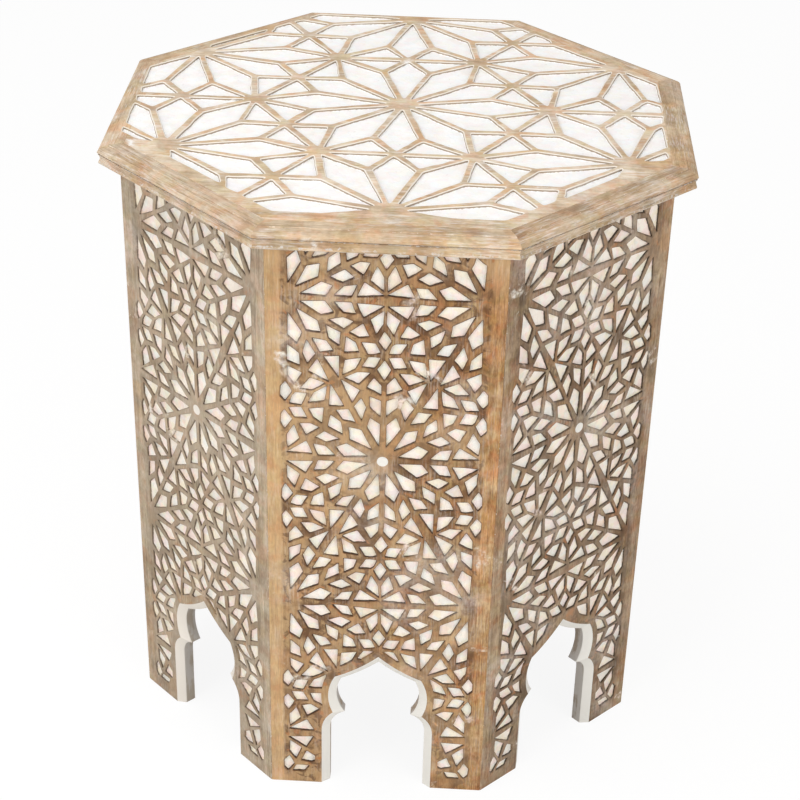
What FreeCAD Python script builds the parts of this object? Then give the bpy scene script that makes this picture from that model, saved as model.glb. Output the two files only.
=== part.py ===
import FreeCAD, Part
import math
import os

import Sketcher

# Octagonal side table: eight boards mitred into a drum, each with a cusped ogee arch at the foot,
# under a board with a mitred moulded rim. Origin on the floor at the table's middle, +Z up, the
# front panel faces -Y. Lengths are millimetres.

DIRECTIONS = ["front", "front_right", "right", "back_right", "back", "back_left", "left", "front_left"]
TURN = 360 / len(DIRECTIONS)
CORNER = TURN / 2

# The lattice of the top repeats on a grid of rosettes, written as shares of the pitch. Twelve
# ridges leave each rosette for the knots; the far point of a petal is the middle of three
# rosettes or the middle of two, by turns.
PETALS = 12
KNOT_SHARE = 0.36
MIDDLE_OF_THREE_SHARE = 1 / math.sqrt(3)
MIDDLE_OF_TWO_SHARE = 1 / 2
COLUMN_SHARE = math.sqrt(3) / 2
ROSETTE_RINGS = 2

# The side panels carry a smaller lattice, drawn out a little in height. Its petals and the points
# of its stars are sunk here, each corner written as a share of the pitch from a rosette and a turn
# from the petal's or the star's own direction; the finer cells are left to the finish.
SIDE_STRETCH = 1.07
SIDE_RINGS = 2
STARS = 6
PETAL_CORNERS = ((0.076, 0), (0.202, -11), (0.25, 0), (0.202, 11))
STAR_POINT_CORNERS = ((0.493, 3.1), (0.405, 12.6), (0.362, 3.5))

SIZES = [
    # the table as a whole
    ("table_height", 508, "floor to the upper face of the top"),
    ("top_flats", 445, "top, across flats, at the nose of the moulding"),
    ("overhang", 15.5, "nose of the moulding past the panels"),
    ("cut_overrun", 2, "how far every cut runs past the face it opens"),
    # the top board and its rim
    ("top_thickness", 14, "board and rim moulding"),
    ("rim_width", 19, "from the joint with the board to the nose"),
    ("nose_radius", 5, "rounded upper band of the rim"),
    ("quirk_depth", 0.8, "small step between the flat top and the nose"),
    ("groove_height", 1, "saw-cut groove under the nose"),
    ("groove_depth", 2.4, "groove floor behind the nose"),
    ("cove_setback", 1.2, "lower band behind the nose"),
    ("cove_height", 6, "hollow in the lower band"),
    ("cove_depth", 2.1, "hollow, at its deepest"),
    # the sunk star lattice of the top
    ("carve_depth", 2, "sunk cells below the face"),
    ("ridge_width", 7, "wood left between two cells"),
    ("rosette_pitch", 193.5, "rosette to rosette, front to back"),
    ("rosette_column", 173, "rosette to rosette, left to right"),
    ("rosette_left", 0.8, "middle rosette to the left of the table's middle"),
    ("rosette_back", 13.7, "middle rosette behind the table's middle"),
    ("smallest_cell", 3, "cells narrower than this are left out"),
    ("border_front", 34, "plain border, from the nose of the moulding"),
    ("border_front_right", 32, "plain border, front right"),
    ("border_right", 21, "plain border, right"),
    ("border_back_right", 20, "plain border, back right"),
    ("border_back", 11.5, "plain border, back"),
    ("border_back_left", 15.5, "plain border, back left"),
    ("border_left", 14, "plain border, left"),
    ("border_front_left", 31.5, "plain border, front left"),
    # the side panels
    ("panel_thickness", 14, "carved boards of the drum"),
    ("jamb_half", 38, "half the clear width between the jambs"),
    ("springing_height", 57, "where the jamb turns into the lower lobe"),
    ("lower_lobe_radius", 16, "lobe between the jamb and the cusp"),
    ("upper_lobe_radius", 33, "lobe between the cusp and the shoulder"),
    ("upper_lobe_height", 92, "centre of the upper lobe above the floor"),
    ("arch_height", 125, "point of the arch above the floor"),
    ("ogee_radius", 126.5, "reversed curve from the shoulder to the point"),
    ("ogee_reach", 81, "centre of the reversed curve from the panel's middle"),
    ("bevel_width", 6.5, "bevel round the arch, across the face"),
    ("bevel_depth", 5, "bevel round the arch, into the board"),
    # the sunk lattice of the side panels
    ("side_carve_depth", 2.2, "sunk cells below the face"),
    ("side_pitch", 143.4, "rosette to rosette, left to right"),
    ("side_rosette_height", 316.4, "middle rosette above the floor"),
    ("stile_width", 11, "plain wood along each edge of a panel"),
    ("foot_band", 11, "plain wood at the foot of a panel"),
    ("head_band", 4, "plain wood at the head of a panel"),
    ("arch_band", 5.5, "plain wood round the bevel of the arch"),
    # the blocks and cleats inside
    ("block_leg", 22, "glue block along each panel"),
    ("block_depth", 12, "glue block square to the panel"),
    ("block_bottom", 150, "foot of the glue block above the floor"),
    ("cleat_depth", 18, "cleat square to the panel"),
    ("cleat_height", 20, "cleat under the board"),
    ("cleat_gap", 0.3, "between the cleat's end and the glue block"),
]

DERIVED = [
    ("panel_height", "table_height - top_thickness"),
    ("top_apothem", "top_flats / 2"),
    ("board_apothem", "top_apothem - rim_width"),
    ("outer_apothem", "top_apothem - overhang"),
    ("inner_apothem", "outer_apothem - panel_thickness"),
    ("corner_radius", "inner_apothem / cos({0} deg)".format(CORNER)),
    ("mitre_slope", "tan({0} deg)".format(CORNER)),
    ("bevel_slope", "bevel_width / bevel_depth"),
    ("inner_half", "inner_apothem * mitre_slope"),
    ("cleat_half", "inner_half - block_leg - cleat_gap"),
    ("cleat_apothem", "inner_apothem - cleat_depth"),
    ("lower_lobe_centre", "jamb_half - lower_lobe_radius"),
    ("ogee_centre_height", "arch_height + sqrt(ogee_radius ^ 2 - ogee_reach ^ 2)"),
    ("nose_bottom", "top_thickness - quirk_depth - nose_radius"),
    ("groove_bottom", "nose_bottom - groove_height"),
    ("cove_radius", "(cove_height ^ 2 / 4 + cove_depth ^ 2) / (2 * cove_depth)"),
    ("cove_bottom", "groove_bottom - cove_height"),
]

doc = FreeCAD.newDocument("OctagonalSideTable")
sheet = doc.addObject("Spreadsheet::Sheet", "Dimensions")
sheet.set("A1", "size")
sheet.set("B1", "value in mm")
sheet.set("C1", "what it measures")
for row, (name, number, meaning) in enumerate(SIZES, start=2):
    sheet.set("A{0}".format(row), name)
    sheet.set("B{0}".format(row), str(number))
    sheet.setAlias("B{0}".format(row), name)
    sheet.set("C{0}".format(row), meaning)
for row, (name, formula) in enumerate(DERIVED, start=2 + len(SIZES)):
    sheet.set("A{0}".format(row), name)
    sheet.set("B{0}".format(row), "=" + formula)
    sheet.setAlias("B{0}".format(row), name)
doc.recompute()


def size(name):
    """A value of the sheet as a number."""
    return float(sheet.get(name))


def formula(text):
    """An expression in the sheet's names, as another object of the document writes it."""
    words = []
    word = ""
    for letter in text + " ":
        if letter.isalnum() or letter in "_.":
            word += letter
            continue
        if word and sheet.getCellFromAlias(word):
            word = "Dimensions." + word
        words.append(word)
        words.append(letter)
        word = ""
    return "".join(words).strip()


def value(text):
    """What an expression in the sheet's names comes to."""
    return float(sheet.evalExpression(formula(text)))


def new_body(name, turn, out="0", up="0"):
    """A body on the panel's middle line, out from the axis and up, turned about the axis."""
    body = doc.addObject("PartDesign::Body", name)
    body.Label = name
    body.Placement = FreeCAD.Placement(FreeCAD.Vector(), FreeCAD.Rotation(FreeCAD.Vector(0, 0, 1), turn))
    body.setExpression("Placement.Base.x", formula("sin({0} deg) * ({1})".format(turn, out)))
    body.setExpression("Placement.Base.y", formula("-cos({0} deg) * ({1})".format(turn, out)))
    body.setExpression("Placement.Base.z", formula(up))
    return body


def new_sketch(body, name, plane, lift="0"):
    """A sketch on one of the body's own origin planes, lifted along the plane's normal."""
    sketch = body.newObject("Sketcher::SketchObject", name)
    origin_plane = [item for item in body.Origin.OriginFeatures if item.Role == plane][0]
    sketch.AttachmentSupport = [(origin_plane, "")]
    sketch.MapMode = "FlatFace"
    sketch.setExpression("AttachmentOffset.Base.z", formula(lift))
    return sketch


def pin(sketch, item, point, across, along):
    """Ties one point of a sketch to two expressions, measured from the sketch's origin."""
    for kind, axis, text in (("DistanceX", -2, across), ("DistanceY", -1, along)):
        number = value(text)
        if abs(number) < 1e-9:
            sketch.addConstraint(Sketcher.Constraint("PointOnObject", item, point, axis))
            continue
        ends = (-1, 1, item, point) if number > 0 else (item, point, -1, 1)
        index = sketch.addConstraint(Sketcher.Constraint(kind, *ends, abs(number)))
        sign = "" if number > 0 else "-"
        sketch.setExpression("Constraints[{0}]".format(index), formula("{0}({1})".format(sign, text)))


def join(sketch, first, first_end, second, second_end):
    """Makes two ends of a sketch's edges one point."""
    sketch.addConstraint(Sketcher.Constraint("Coincident", first, first_end, second, second_end))


def draw_polygon(sketch, corners):
    """A closed outline of straight lines, each corner written as a pair of expressions."""
    points = [FreeCAD.Vector(value(across), value(along), 0) for across, along in corners]
    first = sketch.GeometryCount
    for index, point in enumerate(points):
        sketch.addGeometry(Part.LineSegment(point, points[(index + 1) % len(points)]))
    for index in range(len(points)):
        join(sketch, first + index, 2, first + (index + 1) % len(points), 1)
    for index, (across, along) in enumerate(corners):
        pin(sketch, first + index, 1, across, along)


def pad(body, sketch, length, symmetric=False):
    """Raises a sketch into the body's first solid."""
    feature = body.newObject("PartDesign::Pad", body.Name + "_pad")
    feature.Profile = sketch
    feature.setExpression("Length", formula(length))
    feature.SideType = "Symmetric" if symmetric else "One side"
    doc.recompute()
    return feature


def pocket(body, sketch, depth, along_normal=False):
    """Cuts a sketch into the body, against the sketch's normal or along it."""
    before = body.Shape.Volume
    feature = body.newObject("PartDesign::Pocket", sketch.Name + "_cut")
    feature.Profile = sketch
    feature.setExpression("Length", formula(depth))
    feature.Reversed = along_normal
    doc.recompute()
    if not body.Shape.Volume < before:
        raise ValueError("{0} cuts nothing".format(feature.Name))
    return feature


def crossing(centre_a, radius_a, centre_b, radius_b, side):
    """Where two circles cross, on one side of the line from the first centre to the second."""
    run = (centre_b[0] - centre_a[0], centre_b[1] - centre_a[1])
    gap = math.hypot(*run)
    unit = (run[0] / gap, run[1] / gap)
    forward = (radius_a ** 2 - radius_b ** 2 + gap ** 2) / (2 * gap)
    aside = side * math.sqrt(radius_a ** 2 - forward ** 2)
    return (
        centre_a[0] + unit[0] * forward - unit[1] * aside,
        centre_a[1] + unit[1] * forward + unit[0] * aside,
    )


def arc(centre, radius, start, end):
    """An arc that runs counter-clockwise about its centre from one point to another."""
    circle = Part.Circle(FreeCAD.Vector(*centre, 0), FreeCAD.Vector(0, 0, 1), radius)
    first = math.atan2(start[1] - centre[1], start[0] - centre[0])
    last = math.atan2(end[1] - centre[1], end[0] - centre[0])
    if last < first:
        last += 2 * math.pi
    return Part.ArcOfCircle(circle, first, last)


def draw_arch(sketch, growth):
    """The cusped ogee arch, with every curve grown outwards by the same amount."""
    grown = value(growth)
    lobe = value("lower_lobe_radius") + grown
    belly = value("upper_lobe_radius") + grown
    ogee = value("ogee_radius") - grown
    lobe_centre = (value("lower_lobe_centre"), value("springing_height"))
    belly_centre = (0, value("upper_lobe_height"))
    ogee_centre = (value("ogee_reach"), value("ogee_centre_height"))
    springing = (lobe_centre[0] + lobe, lobe_centre[1])
    cusp = crossing(lobe_centre, lobe, belly_centre, belly, -1)
    shoulder = crossing(belly_centre, belly, ogee_centre, ogee, -1)
    peak = (0, ogee_centre[1] - math.sqrt(ogee ** 2 - ogee_centre[0] ** 2))
    foot = (springing[0], -value("cut_overrun"))

    def left(point):
        return (-point[0], point[1])

    edges = [
        Part.LineSegment(FreeCAD.Vector(*foot, 0), FreeCAD.Vector(*springing, 0)),
        arc(lobe_centre, lobe, springing, cusp),
        arc(belly_centre, belly, cusp, shoulder),
        arc(ogee_centre, ogee, peak, shoulder),
        arc(left(ogee_centre), ogee, left(shoulder), peak),
        arc(belly_centre, belly, left(shoulder), left(cusp)),
        arc(left(lobe_centre), lobe, left(cusp), left(springing)),
        Part.LineSegment(FreeCAD.Vector(*left(springing), 0), FreeCAD.Vector(*left(foot), 0)),
        Part.LineSegment(FreeCAD.Vector(*left(foot), 0), FreeCAD.Vector(*foot, 0)),
    ]
    for edge in edges:
        sketch.addGeometry(edge)
    ends = [(1, 2), (1, 2), (1, 2), (2, 1), (2, 1), (1, 2), (1, 2), (1, 2), (1, 2)]
    for index in range(len(edges)):
        following = (index + 1) % len(edges)
        join(sketch, index, ends[index][1], following, ends[following][0])

    curves = [
        (1, "lower_lobe_centre", "springing_height", "lower_lobe_radius + ({0})"),
        (2, "0", "upper_lobe_height", "upper_lobe_radius + ({0})"),
        (3, "ogee_reach", "ogee_centre_height", "ogee_radius - ({0})"),
        (4, "-ogee_reach", "ogee_centre_height", "ogee_radius - ({0})"),
        (5, "0", "upper_lobe_height", "upper_lobe_radius + ({0})"),
        (6, "-lower_lobe_centre", "springing_height", "lower_lobe_radius + ({0})"),
    ]
    for item, across, along, radius in curves:
        pin(sketch, item, 3, across, along)
        text = radius.format(growth)
        index = sketch.addConstraint(Sketcher.Constraint("Radius", item, value(text)))
        sketch.setExpression("Constraints[{0}]".format(index), formula(text))
    for jamb, lobe_item, lobe_end, foot_end in ((0, 1, 1, 1), (7, 6, 2, 2)):
        sketch.addConstraint(Sketcher.Constraint("Vertical", jamb))
        sketch.addConstraint(Sketcher.Constraint("Horizontal", lobe_item, 3, lobe_item, lobe_end))
        drop = Sketcher.Constraint("DistanceY", jamb, foot_end, -1, 1, value("cut_overrun"))
        index = sketch.addConstraint(drop)
        sketch.setExpression("Constraints[{0}]".format(index), formula("cut_overrun"))


def keep_side(points, normal, limit):
    """The part of a convex outline on the near side of a line."""
    kept = []
    for index, point in enumerate(points):
        following = points[(index + 1) % len(points)]
        here = point[0] * normal[0] + point[1] * normal[1] - limit
        there = following[0] * normal[0] + following[1] * normal[1] - limit
        if here <= 0:
            kept.append(point)
        if here * there < 0:
            part = here / (here - there)
            kept.append((
                point[0] + (following[0] - point[0]) * part,
                point[1] + (following[1] - point[1]) * part,
            ))
    return kept


def inset(points, distance):
    """A convex outline, counter-clockwise, with every side moved inwards."""
    kept = list(points)
    for index, point in enumerate(points):
        following = points[(index + 1) % len(points)]
        run = (following[0] - point[0], following[1] - point[1])
        length = math.hypot(*run)
        normal = (run[1] / length, -run[0] / length)
        kept = keep_side(kept, normal, point[0] * normal[0] + point[1] * normal[1] - distance)
    return kept


def turned(point, degrees):
    """A point turned about the table's axis."""
    angle = math.radians(degrees)
    return (
        point[0] * math.cos(angle) - point[1] * math.sin(angle),
        point[0] * math.sin(angle) + point[1] * math.cos(angle),
    )


def place_on_top(share, angle, middle):
    """A point of the lattice on the table, from its share of the pitch and angle at a rosette."""
    across = middle[0] + share * math.cos(math.radians(angle))
    along = middle[1] + share * math.sin(math.radians(angle))
    return (
        across * size("rosette_column") / COLUMN_SHARE - size("rosette_left"),
        size("rosette_back") + along * size("rosette_pitch"),
    )


def lattice_cells():
    """The sunk cells of the top: petals and the triangles that fill between them."""
    cells = []
    step = 360 / PETALS
    for column in range(-ROSETTE_RINGS, ROSETTE_RINGS + 1):
        for line in range(-2 * ROSETTE_RINGS, 2 * ROSETTE_RINGS + 1):
            middle = (column * COLUMN_SHARE, line + column / 2)
            for petal in range(PETALS):
                far = MIDDLE_OF_TWO_SHARE if petal % 2 else MIDDLE_OF_THREE_SHARE
                next_far = MIDDLE_OF_THREE_SHARE if petal % 2 else MIDDLE_OF_TWO_SHARE
                angle = petal * step
                knot = place_on_top(KNOT_SHARE, angle - step / 2, middle)
                next_knot = place_on_top(KNOT_SHARE, angle + step / 2, middle)
                tip = place_on_top(far, angle, middle)
                next_tip = place_on_top(next_far, angle + step, middle)
                cells.append([place_on_top(0, 0, middle), knot, tip, next_knot])
                cells.append([tip, next_tip, next_knot])
    carved = []
    for cell in cells:
        cell = inset(cell, size("ridge_width") / 2)
        for index, direction in enumerate(DIRECTIONS):
            outward = turned((0, -1), TURN * index)
            cell = keep_side(cell, outward, size("top_apothem") - size("border_" + direction))
        if len(cell) > 2 and len(inset(cell, size("smallest_cell") / 2)) > 2:
            carved.append(cell)
    return carved


def sink(body, plane, face, cells, depth):
    """Sinks closed outlines into a face of the body, which lies off one of its origin planes."""
    sketch = new_sketch(body, body.Name + "_lattice", plane, lift=face + " + cut_overrun")
    for cell in cells:
        points = [FreeCAD.Vector(point[0], point[1], 0) for point in cell]
        for index, point in enumerate(points):
            sketch.addGeometry(Part.LineSegment(point, points[(index + 1) % len(points)]))
    pocket(body, sketch, depth + " + cut_overrun")


def carve(body, turn, out):
    """Sinks the cells of the lattice into a piece of the top, where they reach it."""
    joint = size("board_apothem") if value(out) else 0
    reached = []
    for cell in lattice_cells():
        points = [turned(point, -turn) for point in cell]
        if joint:
            points = keep_side(points, (0, 1), size("cut_overrun") - joint)
            slope = size("mitre_slope")
            outside = [point for point in points if point[1] < -joint and abs(point[0]) < -point[1] * slope]
            if not outside:
                continue
        reached.append([(point[0], point[1] + value(out)) for point in points])
    if reached:
        sink(body, "XY_Plane", "top_thickness", reached, "carve_depth")


def side_cell(middle, direction, corners, flip):
    """One cell of the side lattice, cut off at the panel's plain edges."""
    pitch = size("side_pitch")
    half = value("outer_apothem * mitre_slope - stile_width")
    cell = []
    for share, aside in corners:
        angle = math.radians(direction + flip * aside)
        along = middle[1] + share * math.sin(angle)
        cell.append((
            (middle[0] + share * math.cos(angle)) * pitch,
            size("side_rosette_height") + along * pitch * SIDE_STRETCH,
        ))
    if flip < 0:
        cell.reverse()
    cell = keep_side(cell, (1, 0), half)
    cell = keep_side(cell, (-1, 0), half)
    cell = keep_side(cell, (0, 1), value("panel_height - head_band"))
    return keep_side(cell, (0, -1), -size("foot_band"))


def clear_of_arch(cell):
    """Whether a cell stands beside the jambs or above the point of the arch, off its plain band."""
    growth = size("bevel_width") + size("arch_band")
    beside = size("jamb_half") + growth
    above = value("ogee_centre_height") - math.sqrt(
        (size("ogee_radius") - growth) ** 2 - size("ogee_reach") ** 2
    )
    return (
        all(point[1] > above for point in cell)
        or all(point[0] > beside for point in cell)
        or all(point[0] < -beside for point in cell)
    )


def side_cells():
    """The sunk petals and star points of a side panel."""
    cells = []
    for line in range(-SIDE_RINGS, SIDE_RINGS + 1):
        for column in range(-SIDE_RINGS, SIDE_RINGS + 1):
            middle = (column + line % 2 / 2, line * COLUMN_SHARE)
            for petal in range(PETALS):
                direction = (petal + 1 / 2) * 360 / PETALS
                cells.append(side_cell(middle, direction, PETAL_CORNERS, 1))
            for star in range(STARS):
                for flip in (1, -1):
                    cells.append(side_cell(middle, star * 360 / STARS, STAR_POINT_CORNERS, flip))
    cells = [cell for cell in cells if len(cell) > 2 and clear_of_arch(cell)]
    return [cell for cell in cells if len(inset(cell, size("smallest_cell") / 2)) > 2]


def make_panel(direction, turn):
    """A mitred board on end, with the arch cut through, bevelled round its outer edge."""
    body = new_body("side_panel_" + direction, turn, out="outer_apothem")
    section = new_sketch(body, body.Name + "_section", "XY_Plane")
    draw_polygon(section, [
        ("-outer_apothem * mitre_slope", "0"),
        ("outer_apothem * mitre_slope", "0"),
        ("inner_half", "panel_thickness"),
        ("-inner_half", "panel_thickness"),
    ])
    pad(body, section, "panel_height")

    opening = new_sketch(body, body.Name + "_arch", "XZ_Plane", lift="cut_overrun")
    draw_arch(opening, "0")
    pocket(body, opening, "panel_thickness + 2 * cut_overrun")

    wide = new_sketch(body, body.Name + "_bevel_outside", "XZ_Plane", lift="cut_overrun")
    draw_arch(wide, "bevel_slope * (bevel_depth + cut_overrun)")
    narrow = new_sketch(body, body.Name + "_bevel_inside", "XZ_Plane", lift="-bevel_depth")
    draw_arch(narrow, "0")
    before = body.Shape.Volume
    bevel = body.newObject("PartDesign::SubtractiveLoft", body.Name + "_bevel")
    bevel.Profile = wide
    bevel.Sections = [narrow]
    bevel.Ruled = True
    doc.recompute()
    if not body.Shape.Volume < before:
        raise ValueError("{0} cuts nothing".format(bevel.Name))
    sink(body, "XZ_Plane", "0", side_cells(), "side_carve_depth")
    return body


def make_rim(direction, turn):
    """A length of moulding round the board: nose, groove and hollow, mitred at both ends."""
    body = new_body("rim_moulding_" + direction, turn, out="board_apothem", up="panel_height")
    profile = new_sketch(body, body.Name + "_profile", "YZ_Plane")
    band = "-(rim_width - cove_setback)"
    groove = "-(rim_width - groove_depth)"
    nose = "-(rim_width - nose_radius)"
    corners = [
        ("0", "0"),
        (band, "0"),
        (band, "cove_bottom"),
        (band, "groove_bottom"),
        (groove, "groove_bottom"),
        (groove, "nose_bottom"),
        ("-rim_width", "nose_bottom"),
        (nose, "nose_bottom + nose_radius"),
        (nose, "top_thickness"),
        ("0", "top_thickness"),
    ]
    points = [(value(across), value(along)) for across, along in corners]
    cove_centre = ("{0} - (cove_radius - cove_depth)".format(band), "cove_bottom + cove_height / 2")
    nose_centre = (nose, "nose_bottom")
    for index, point in enumerate(points):
        following = points[(index + 1) % len(points)]
        if index == 2:
            centre = (value(cove_centre[0]), value(cove_centre[1]))
            profile.addGeometry(arc(centre, value("cove_radius"), point, following))
        elif index == 6:
            centre = (value(nose_centre[0]), value(nose_centre[1]))
            profile.addGeometry(arc(centre, value("nose_radius"), following, point))
        else:
            profile.addGeometry(Part.LineSegment(FreeCAD.Vector(*point, 0), FreeCAD.Vector(*following, 0)))
    for index in range(len(points)):
        following = (index + 1) % len(points)
        leaving = 1 if index == 6 else 2
        arriving = 2 if following == 6 else 1
        join(profile, index, leaving, following, arriving)
    for index, (across, along) in enumerate(corners):
        if index == 6:
            pin(profile, index, 2, across, along)
        else:
            pin(profile, index, 1, across, along)
    for item, radius in ((2, "cove_radius"), (6, "nose_radius")):
        index = profile.addConstraint(Sketcher.Constraint("Radius", item, value(radius)))
        profile.setExpression("Constraints[{0}]".format(index), formula(radius))
    pad(body, profile, "2 * (top_apothem * mitre_slope + cut_overrun)", symmetric=True)

    ends = new_sketch(body, body.Name + "_mitres", "XY_Plane", lift="-cut_overrun")
    for side in ("-", ""):
        draw_polygon(ends, [
            (side + "(board_apothem - cut_overrun) * mitre_slope", "cut_overrun"),
            (side + "(top_apothem + cut_overrun) * mitre_slope", "-(rim_width + cut_overrun)"),
            (side + "(top_apothem * mitre_slope + 2 * cut_overrun)", "-(rim_width + cut_overrun)"),
            (side + "(top_apothem * mitre_slope + 2 * cut_overrun)", "cut_overrun"),
        ])
    pocket(body, ends, "top_thickness + 2 * cut_overrun", along_normal=True)
    carve(body, turn, "board_apothem")
    return body


def make_board():
    """The octagonal board inside the rim, with the star lattice sunk in its face."""
    body = new_body("top_board", 0, up="panel_height")
    outline = new_sketch(body, "top_board_outline", "XY_Plane")
    radius = "board_apothem / cos({0} deg)".format(CORNER)
    draw_polygon(outline, [
        ("({0}) * sin({1} deg)".format(radius, CORNER + TURN * step),
         "-({0}) * cos({1} deg)".format(radius, CORNER + TURN * step))
        for step in range(len(DIRECTIONS))
    ])
    pad(body, outline, "top_thickness")

    carve(body, 0, "0")
    return body


def make_block(direction, turn):
    """A glue block that fills the inside of one mitred corner."""
    body = new_body("corner_block_" + direction, turn + CORNER, up="block_bottom")
    outline = new_sketch(body, body.Name + "_outline", "XY_Plane")
    heel = "block_leg * cos({0} deg)".format(CORNER)
    rise = "-(corner_radius - block_leg * sin({0} deg))".format(CORNER)
    toe = "(block_leg * cos({0} deg) - block_depth * sin({0} deg))".format(CORNER)
    toe_rise = "-(corner_radius - block_leg * sin({0} deg) - block_depth * cos({0} deg))".format(CORNER)
    draw_polygon(outline, [
        ("0", "-corner_radius"),
        (heel, rise),
        (toe, toe_rise),
        ("-" + toe, toe_rise),
        ("-" + heel, rise),
    ])
    pad(body, outline, "panel_height - block_bottom")
    return body


def make_cleat(direction, turn):
    """A batten under the board along one panel, between two glue blocks."""
    body = new_body("top_cleat_" + direction, turn, out="cleat_apothem", up="panel_height - cleat_height")
    outline = new_sketch(body, body.Name + "_outline", "XY_Plane")
    draw_polygon(outline, [
        ("-cleat_half", "-cleat_depth"),
        ("cleat_half", "-cleat_depth"),
        ("cleat_half", "0"),
        ("-cleat_half", "0"),
    ])
    pad(body, outline, "cleat_height")
    return body


nodes = [make_board()]
for step, direction in enumerate(DIRECTIONS):
    nodes.append(make_panel(direction, TURN * step))
for step, direction in enumerate(DIRECTIONS):
    nodes.append(make_rim(direction, TURN * step))
for step, direction in enumerate(DIRECTIONS):
    nodes.append(make_block(direction, TURN * step))
for step, direction in enumerate(DIRECTIONS):
    nodes.append(make_cleat(direction, TURN * step))

doc.recompute()
for item in doc.Objects:
    if "Invalid" in item.State or "Error" in item.State:
        raise ValueError("{0} failed".format(item.Name))
for node in nodes:
    if node.Shape.isNull() or not node.Shape.isValid():
        raise ValueError("{0} has no valid shape".format(node.Label))

os.makedirs("parts", exist_ok=True)
for node in nodes:
    node.Shape.exportStep("parts/{0}.step".format(node.Label))
    print(node.Label, len(node.Shape.Solids), round(node.Shape.Volume))
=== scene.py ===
import random
from functools import partial
from itertools import combinations, product
from math import atan2, ceil, cos, dist, hypot, pi, radians, sin, sqrt, tan

import bmesh
import bpy
from mathutils import Matrix, Vector, kdtree


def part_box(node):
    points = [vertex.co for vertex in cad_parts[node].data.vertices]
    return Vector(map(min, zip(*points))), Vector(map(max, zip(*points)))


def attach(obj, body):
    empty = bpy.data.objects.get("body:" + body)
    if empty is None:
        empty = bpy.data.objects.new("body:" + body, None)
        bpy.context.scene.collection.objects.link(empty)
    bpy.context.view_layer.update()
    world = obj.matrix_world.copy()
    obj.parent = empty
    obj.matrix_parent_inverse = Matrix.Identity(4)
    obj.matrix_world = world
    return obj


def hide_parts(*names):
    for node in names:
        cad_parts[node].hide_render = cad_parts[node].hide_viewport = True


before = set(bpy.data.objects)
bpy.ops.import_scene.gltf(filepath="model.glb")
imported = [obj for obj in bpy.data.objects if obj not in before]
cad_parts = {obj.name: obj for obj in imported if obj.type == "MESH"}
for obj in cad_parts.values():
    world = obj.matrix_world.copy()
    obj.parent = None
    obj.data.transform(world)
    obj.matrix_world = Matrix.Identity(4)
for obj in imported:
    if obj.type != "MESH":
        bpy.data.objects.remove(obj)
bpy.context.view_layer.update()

# --- Side panels ---
# Eight hardwood boards stood on end and mitred into a drum. A cusped ogee arch is sawn through each
# foot and bevelled; a lattice of rosettes, stars and diamonds is cut into the face by hand, and the
# sunk cells and the arch are washed with white paint that is rubbed off the raised wood.

mm = 0.001
eighth_turn = radians(45)
mitre_slope = tan(eighth_turn / 2)
directions = [
    "front", "front_right", "right", "back_right", "back", "back_left", "left", "front_left",
]

panel_low, panel_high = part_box("side_panel_front")
panel_face = panel_low.y
panel_height = panel_high.z
panel_thickness = panel_high.y - panel_low.y

jamb_half = 38 * mm
springing_height = 57 * mm
lower_lobe_radius = 16 * mm
upper_lobe_radius = 33 * mm
upper_lobe_height = 92 * mm
arch_height = 125 * mm
ogee_radius = 126.5 * mm
ogee_reach = 81 * mm
lobe_steps, belly_steps, ogee_steps = 8, 14, 10
bevel_width = 6.5 * mm
bevel_depth = 5 * mm

cell_depth = 2.2 * mm
saw_overrun = 1 * mm
merge_gap = 0.01 * mm
stile_width = 11 * mm
foot_band = 11 * mm
arch_band = 5.5 * mm
head_band = 4 * mm
arris = 0.5 * mm
carved_half = -panel_face * mitre_slope - stile_width

# How much paint a bevel or an arris holds; about half is the least that shows well.
full_paint = 1.2
arris_paint = 0.3

rosette_across = 143.4 * mm
rosette_stretch = 1.07
rosette_height = 316.4 * mm
petal_growth = 0.3 * mm
other_growth = 0.7 * mm
wider_cut = {"front_right": 0.5 * mm, "front_left": 0.4 * mm}
cell_lift = 0.6 * mm
smallest_side_cell = 2.4 * mm
side_slip = 0.3 * mm
side_corner = 0.6 * mm
plug_radius = 4.2 * mm
plug_depth = 0.4 * mm
plug_sides = 20
shoulder_width = 1.5 * mm
shoulder_depth = 0.6 * mm
rubbed_depth = 0.2 * mm


def spot_at(radius, angle):
    """The point at a distance and an angle from the middle."""
    return radius * cos(angle), radius * sin(angle)


def turned(point, angle):
    """A point turned about the middle."""
    return (
        point[0] * cos(angle) - point[1] * sin(angle),
        point[0] * sin(angle) + point[1] * cos(angle),
    )


def part_way(start, end, share):
    """The point that lies a share of the way from one point to another."""
    return tuple(a + (b - a) * share for a, b in zip(start, end))


def middle_of(outline):
    """The mean of an outline's corners."""
    return tuple(sum(axis) / len(outline) for axis in zip(*outline))


def sides_of(outline):
    """The two ends of each side of an outline."""
    return zip(outline, outline[1:] + outline[:1])


def arc_points(centre, start, end, steps, clockwise=False):
    """Points along an arc from just after its start to its end."""
    first = atan2(start[1] - centre[1], start[0] - centre[0])
    last = atan2(end[1] - centre[1], end[0] - centre[0])
    if clockwise and last > first:
        last -= 2 * pi
    if not clockwise and last < first:
        last += 2 * pi
    radius = dist(centre, start)
    angles = [first + (last - first) * step / steps for step in range(1, steps + 1)]
    return [(centre[0] + radius * cos(a), centre[1] + radius * sin(a)) for a in angles]


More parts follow.
